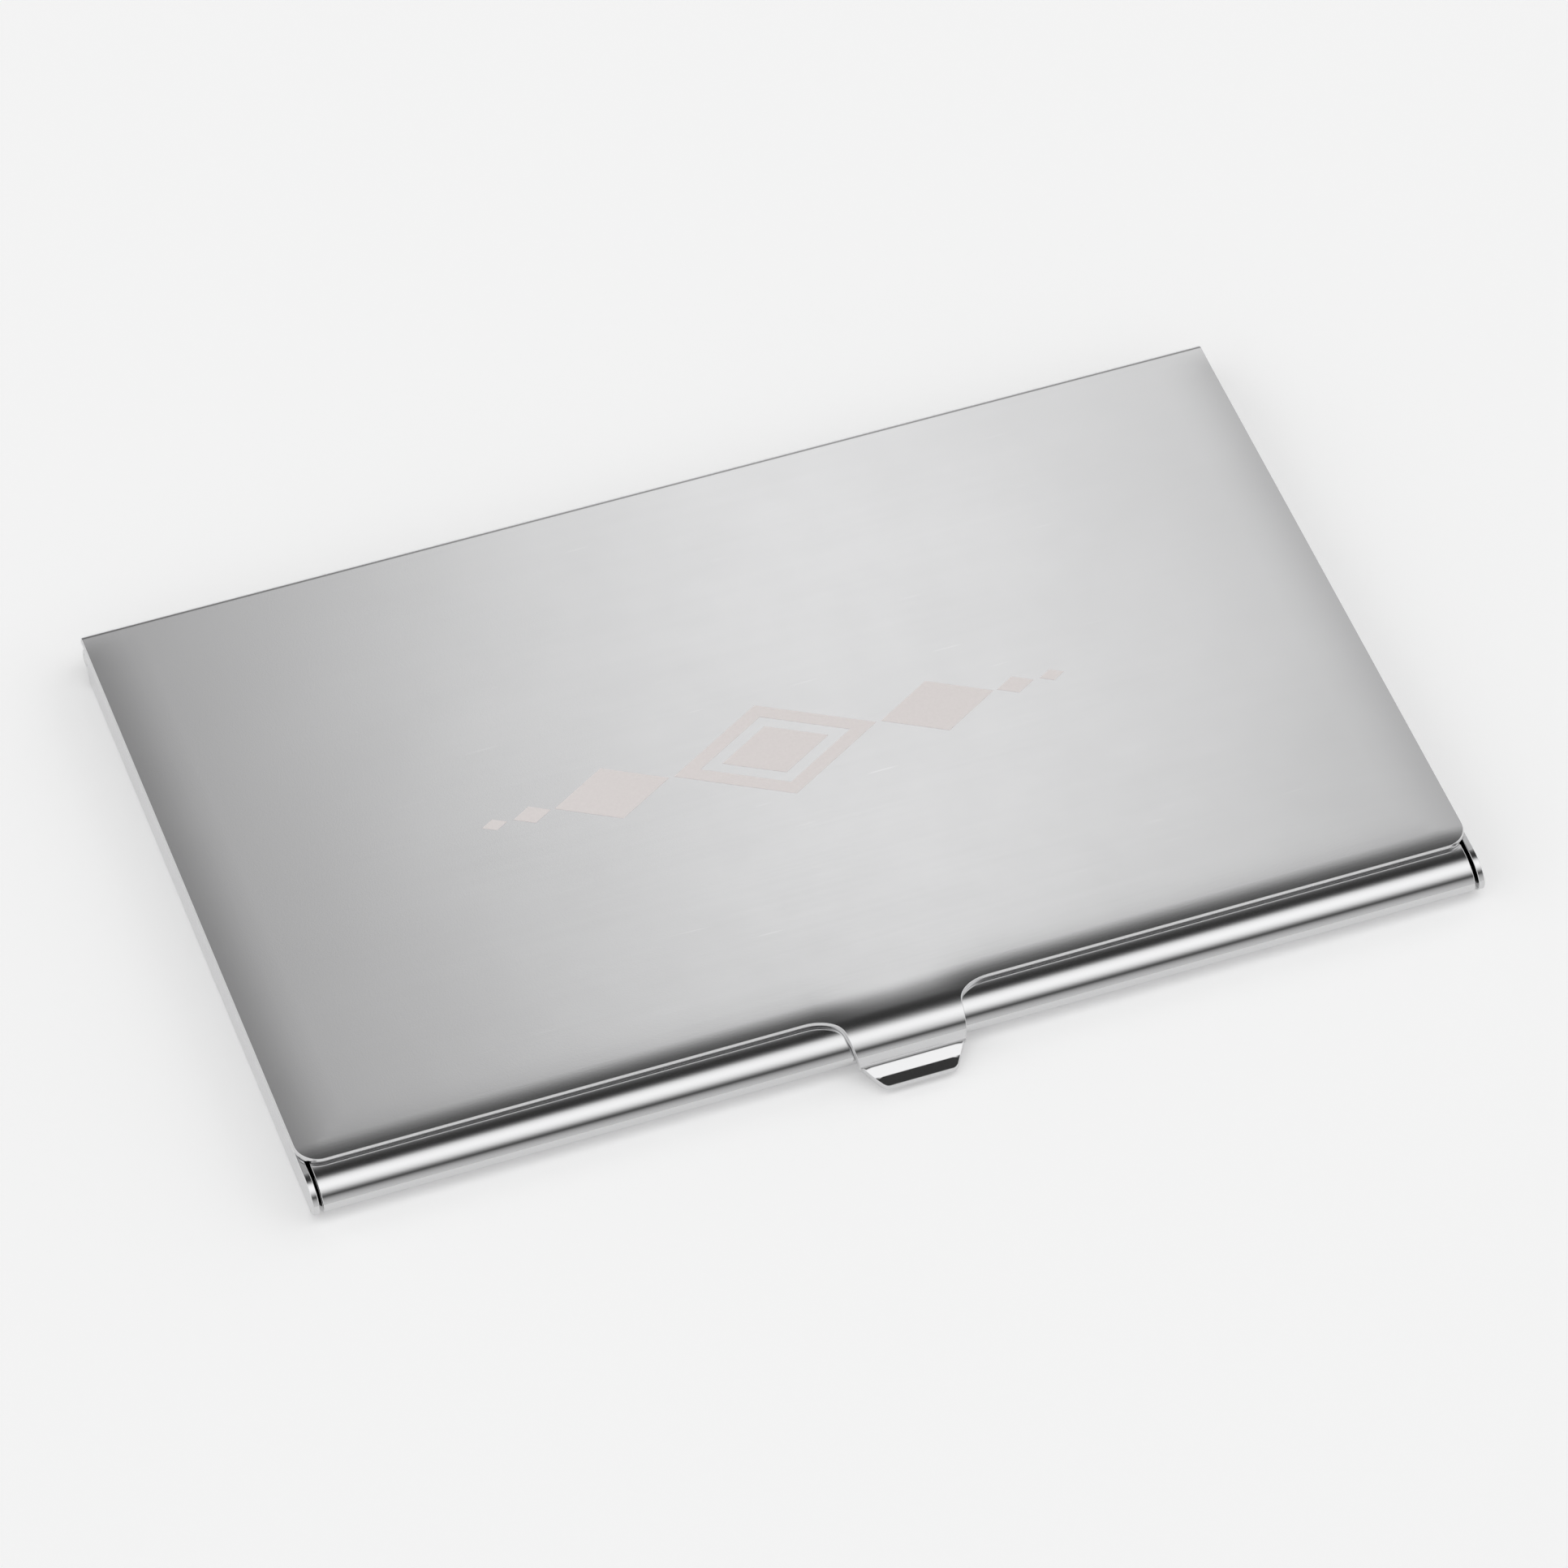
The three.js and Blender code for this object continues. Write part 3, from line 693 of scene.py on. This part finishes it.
def lozenge_plate(name, shapes, z0, z1):
    """Thin lozenges lying on the lid: each is (x, y, half width, half height, hollow share)."""
    verts, faces = [], []
    for x, y, a, b, hollow in shapes:
        outer = [(x + a, y), (x, y + b), (x - a, y), (x, y - b)]
        at = len(verts)
        if hollow:
            inner = [(x + (px - x) * hollow, y + (py - y) * hollow) for px, py in outer]
            for z in (z0, z1):
                verts += [(*p, z) for p in outer] + [(*p, z) for p in inner]
            for i in range(4):
                j = (i + 1) % 4
                faces.append([at + 8 + i, at + 8 + j, at + 12 + j, at + 12 + i])
                faces.append([at + j, at + i, at + 4 + i, at + 4 + j])
                faces.append([at + i, at + j, at + 8 + j, at + 8 + i])
                faces.append([at + 4 + j, at + 4 + i, at + 12 + i, at + 12 + j])
        else:
            for z in (z0, z1):
                verts += [(*p, z) for p in outer]
            faces.append([at + 4, at + 5, at + 6, at + 7])
            faces.append([at + 3, at + 2, at + 1, at])
            for i in range(4):
                j = (i + 1) % 4
                faces.append([at + i, at + j, at + 4 + j, at + 4 + i])
    piece = finish_mesh(name, verts, faces, None, PRINT, "lid", "satin_steel")
    piece.data.polygons.foreach_set("use_smooth", [False] * len(piece.data.polygons))
    return piece


mid_y = (FRONT_Y + REAR_Y) / 2 - 1.5
shapes = [(0, mid_y, 8.2, 4.7, 0.74), (0, mid_y, 4.3, 2.45, 0)]
for side in (-1, 1):
    for out, half_width, half_height in ((13.2, 4.6, 2.65), (19.6, 1.5, 0.86), (22.6, 1.0, 0.57)):
        shapes.append((side * out, mid_y, half_width, half_height, 0))
lozenge_plate("lid_ornament", shapes, LID_TOP + 0.001, LID_TOP + 0.013)

# ---------------------------------------------------------------- floor, light, camera

scene = bpy.context.scene
FLOOR_HALF, FLOOR_Z = 3.0, -0.00002  # metres
PAPER_WHITE, PAPER_GLOW = 0.985, 0.17  # the photo's ground is overexposed, so the paper glows a little
floor_mesh = bpy.data.meshes.new("floor")
floor_corners = [(a * FLOOR_HALF, b * FLOOR_HALF, 0) for a, b in ((-1, -1), (1, -1), (1, 1), (-1, 1))]
floor_mesh.from_pydata(floor_corners, [], [(0, 1, 2, 3)])
floor = bpy.data.objects.new("floor", floor_mesh)
floor.location.z = FLOOR_Z
scene.collection.objects.link(floor)
paper = bpy.data.materials.new("paper")
paper.use_nodes = True
n = Nodes(paper.node_tree)
shader = n.add("ShaderNodeBsdfPrincipled", {"Base Color": (*[PAPER_WHITE] * 3, 1), "Roughness": 0.9})
shader.inputs["Specular IOR Level"].default_value = 0.1
shader.inputs["Emission Color"].default_value = (1, 1, 1, 1)
shader.inputs["Emission Strength"].default_value = PAPER_GLOW
n.add("ShaderNodeOutputMaterial", {"Surface": shader.outputs[0]})
floor_mesh.materials.append(paper)

# A soft sky: bands run across the case, the one behind it fades towards both sides, and the ends are even.
world = bpy.data.worlds.new("studio")
world.use_nodes = True
scene.world = world
n = Nodes(world.node_tree)
direction = n.add("ShaderNodeTexCoord").outputs["Generated"]
axes = n.add("ShaderNodeSeparateXYZ", {0: direction})
x, y, z = axes.outputs
phi = n.math("ARCTAN2", n.math("MULTIPLY", y, -1.0), z)
off_axis = n.math("SQRT", n.math("ADD", n.math("MULTIPLY", y, y), n.math("MULTIPLY", z, z)))
spread = n.math("ARCTAN2", x, off_axis)


def band_at(degrees_from_zenith):
    return (degrees_from_zenith + 90) / 180


level = n.math("DIVIDE", n.math("ADD", phi, math.pi / 2), math.pi, clamp=True)
# angle from straight up towards the front, and how bright the sky is there
BANDS = [
    (-90, 0.45), (-64, 0.35), (-58, 0.85), (-48, 1.0), (-37, 1.0), (-35.8, 0.85), (-33, 0.26), (-30, 0.09),
    (-25, 0.045), (-20.5, 0.03), (-17.5, 0.03), (-14.7, 0.08), (-12, 0.27), (-9.5, 0.68), (-6.5, 1.05),
    (-2.5, 1.27), (2.5, 1.37), (7.5, 1.36), (11.5, 1.29), (15.5, 1.18), (19.5, 1.0), (23.5, 0.77),
    (27.5, 0.51), (31.5, 0.30), (36, 0.12), (40, 0.07), (43, 0.13), (47, 0.29), (54, 0.46), (64, 0.60),
    (78, 0.71), (90, 0.72),
]
bands = n.ramp(level, [(band_at(a), v / 2) for a, v in BANDS])
across = n.math("DIVIDE", n.math("ADD", spread, math.pi / 2), math.pi, clamp=True)
# angle to the right, and the share of that brightness in the band behind the case
BEHIND_ENDS = [
    (4, 0.28), (8.5, 0.38), (9.8, 0.53), (10.7, 0.77), (11.5, 0.95), (12.2, 1.06), (13, 1.19), (14, 1.265),
    (15, 1.25), (15.8, 1.12), (16.6, 0.985), (17.3, 0.88), (19, 0.73), (24, 0.55),
]
side_fade = n.math("MULTIPLY", n.ramp(across, [(band_at(a), v / 2) for a, v in BEHIND_ENDS]), 2.0)
behind = n.ramp(level, [(band_at(-36), 1.0), (band_at(-30), 0.0)])
fade = n.math("ADD", 1.0, n.math("MULTIPLY", behind, n.math("SUBTRACT", side_fade, 1.0)))
FLANK_LEVEL = 1.12  # the sky towards its left and right ends
flanks = n.ramp(across, [(band_at(a), v) for a, v in ((-42, 1.0), (-26, 0.0), (26, 0.0), (42, 1.0))])
strength = n.math("MULTIPLY", n.math("MULTIPLY", bands, fade), 2.0)
strength = n.math("ADD", strength, n.math("MULTIPLY", flanks, n.math("SUBTRACT", FLANK_LEVEL, strength)))
background = n.add("ShaderNodeBackground", {"Color": (1, 1, 1, 1), "Strength": strength})
n.add("ShaderNodeOutputWorld", {"Surface": background.outputs[0]})
scene.view_settings.view_transform = "Standard"

FORWARD = Vector((0.2334662, 0.6084889, -0.7584424)).normalized()
ROLL = math.radians(1.074)
CAMERA_AT = Vector((-0.151054, -0.394451, 0.492429))
right0 = FORWARD.cross(Vector((0, 0, 1))).normalized()
up0 = right0.cross(FORWARD)
right = right0 * math.cos(ROLL) + up0 * math.sin(ROLL)
up = up0 * math.cos(ROLL) - right0 * math.sin(ROLL)
camera_data = bpy.data.cameras.new("camera")
camera_data.sensor_width = 36.0
camera_data.lens = 194.95
camera_data.clip_start, camera_data.clip_end = 0.01, 20.0
camera = bpy.data.objects.new("camera", camera_data)
scene.collection.objects.link(camera)
camera.matrix_world = Matrix(
    [
        [right.x, up.x, -FORWARD.x, CAMERA_AT.x],
        [right.y, up.y, -FORWARD.y, CAMERA_AT.y],
        [right.z, up.z, -FORWARD.z, CAMERA_AT.z],
        [0, 0, 0, 1],
    ]
)
scene.camera = camera

bpy.context.view_layer.update()
